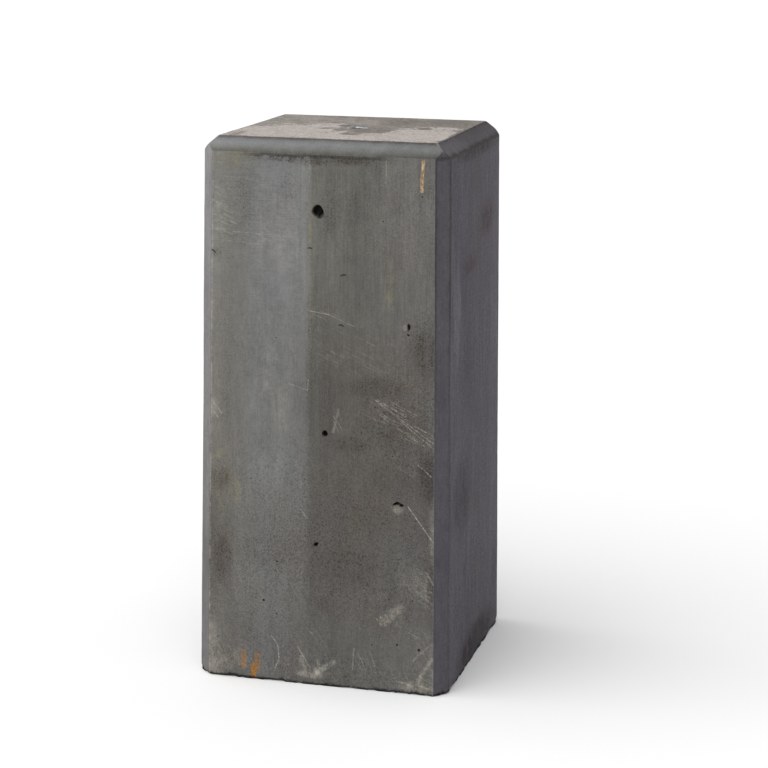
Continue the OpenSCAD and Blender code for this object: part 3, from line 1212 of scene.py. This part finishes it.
def build_floor(studio):
    """A flat floor that runs well past what the camera sees."""
    mesh = bpy.data.meshes.new("studio_floor")
    corners = [(x * FLOOR_HALF, y * FLOOR_HALF, 0) for x, y in ((-1, -1), (1, -1), (1, 1), (-1, 1))]
    mesh.from_pydata(corners, [], [(0, 1, 2, 3)])
    floor = bpy.data.objects.new("studio_floor", mesh)
    bpy.context.scene.collection.objects.link(floor)
    mesh.materials.append(floor_finish(studio))


def aim(back, roll):
    """Rotation whose local z looks along back, whose x is level, then turned by the roll."""
    level = Vector((-back.y, back.x, 0)).normalized()
    up = back.cross(level)
    right = level * math.cos(roll) + up * math.sin(roll)
    up = up * math.cos(roll) - level * math.sin(roll)
    return Matrix((right, up, back)).transposed().to_4x4()


def build_camera(studio):
    """Camera that stands at its place and looks down and round by the given angles."""
    data = bpy.data.cameras.new("studio_camera")
    data.lens = studio.lens
    data.sensor_width = 36
    camera = bpy.data.objects.new("studio_camera", data)
    level = math.cos(studio.elevation)
    across, back = math.sin(studio.azimuth) * level, -math.cos(studio.azimuth) * level
    turned = aim(Vector((across, back, math.sin(studio.elevation))), studio.roll)
    camera.matrix_world = Matrix.Translation(Vector(studio.camera_place)) @ turned
    bpy.context.scene.collection.objects.link(camera)
    bpy.context.scene.camera = camera


def build_lights(studio):
    """A soft key light from the front left, and even light from a sky that the camera sees white."""
    data = bpy.data.lights.new("key_light", "SUN")
    data.energy = studio.key_strength
    data.angle = KEY_SPREAD
    lamp = bpy.data.objects.new("key_light", data)
    lamp.matrix_world = aim(Vector(KEY_TOWARDS).normalized(), 0.0)
    bpy.context.scene.collection.objects.link(lamp)
    world = bpy.data.worlds.new("studio_sky")
    world.use_nodes = True
    tree = world.node_tree
    background = tree.nodes["Background"]
    background.inputs["Color"].default_value = (1.0, 1.0, 1.0, 1.0)
    ray = tree.nodes.new("ShaderNodeLightPath")
    strength = tree.nodes.new("ShaderNodeMapRange")
    strength.inputs["To Min"].default_value = studio.sky_strength
    strength.inputs["To Max"].default_value = 1.0
    tree.links.new(ray.outputs["Is Camera Ray"], strength.inputs["Value"])
    tree.links.new(strength.outputs["Result"], background.inputs["Strength"])
    scene = bpy.context.scene
    scene.world = world
    scene.view_settings.view_transform = "Standard"


# ---------------------------------------------------------------------------------------------
# Operators and panel
# ---------------------------------------------------------------------------------------------


class COLUMNBASE_OT_block(Operator):
    """Build the cast concrete block"""

    bl_idname = "column_base.block"
    bl_label = "Concrete Block"

    def execute(self, context):
        scene = context.scene
        piece = build_block(scene.column_block, scene.column_socket)
        piece.data.materials.append(concrete_finish(scene.column_block))
        return {"FINISHED"}


class COLUMNBASE_OT_socket(Operator):
    """Build the threaded steel socket"""

    bl_idname = "column_base.socket"
    bl_label = "Threaded Socket"

    def execute(self, context):
        scene = context.scene
        piece = build_socket(scene.column_socket)
        piece.data.materials.append(zinc_finish(scene.column_socket))
        return {"FINISHED"}


class COLUMNBASE_OT_studio(Operator):
    """Build the floor, the lights and the camera"""

    bl_idname = "column_base.studio"
    bl_label = "Studio"

    def execute(self, context):
        studio = context.scene.column_studio
        build_floor(studio)
        build_lights(studio)
        build_camera(studio)
        return {"FINISHED"}


class COLUMNBASE_PT_panel(Panel):
    """Lists the operators and their settings"""

    bl_label = "Column Base Block"
    bl_space_type = "VIEW_3D"
    bl_region_type = "UI"
    bl_category = "Column Base"

    def draw(self, context):
        for group, operator in (
            ("column_block", COLUMNBASE_OT_block),
            ("column_socket", COLUMNBASE_OT_socket),
            ("column_studio", COLUMNBASE_OT_studio),
        ):
            box = self.layout.box()
            settings = getattr(context.scene, group)
            for key in settings.__annotations__:
                box.prop(settings, key)
            box.operator(operator.bl_idname)


SETTINGS = {
    "column_block": ColumnBaseBlockSettings,
    "column_socket": ThreadedSocketSettings,
    "column_studio": StudioSettings,
}
CLASSES = (COLUMNBASE_OT_block, COLUMNBASE_OT_socket, COLUMNBASE_OT_studio, COLUMNBASE_PT_panel)


def register():
    for name, group in SETTINGS.items():
        bpy.utils.register_class(group)
        setattr(bpy.types.Scene, name, PointerProperty(type=group))
    for item in CLASSES:
        bpy.utils.register_class(item)


def unregister():
    for item in reversed(CLASSES):
        bpy.utils.unregister_class(item)
    for name, group in SETTINGS.items():
        delattr(bpy.types.Scene, name)
        bpy.utils.unregister_class(group)


def main():
    """Builds everything."""
    register()
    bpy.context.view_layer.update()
    bpy.ops.column_base.block()
    bpy.ops.column_base.socket()
    bpy.ops.column_base.studio()


if __name__ == "__main__":
    main()
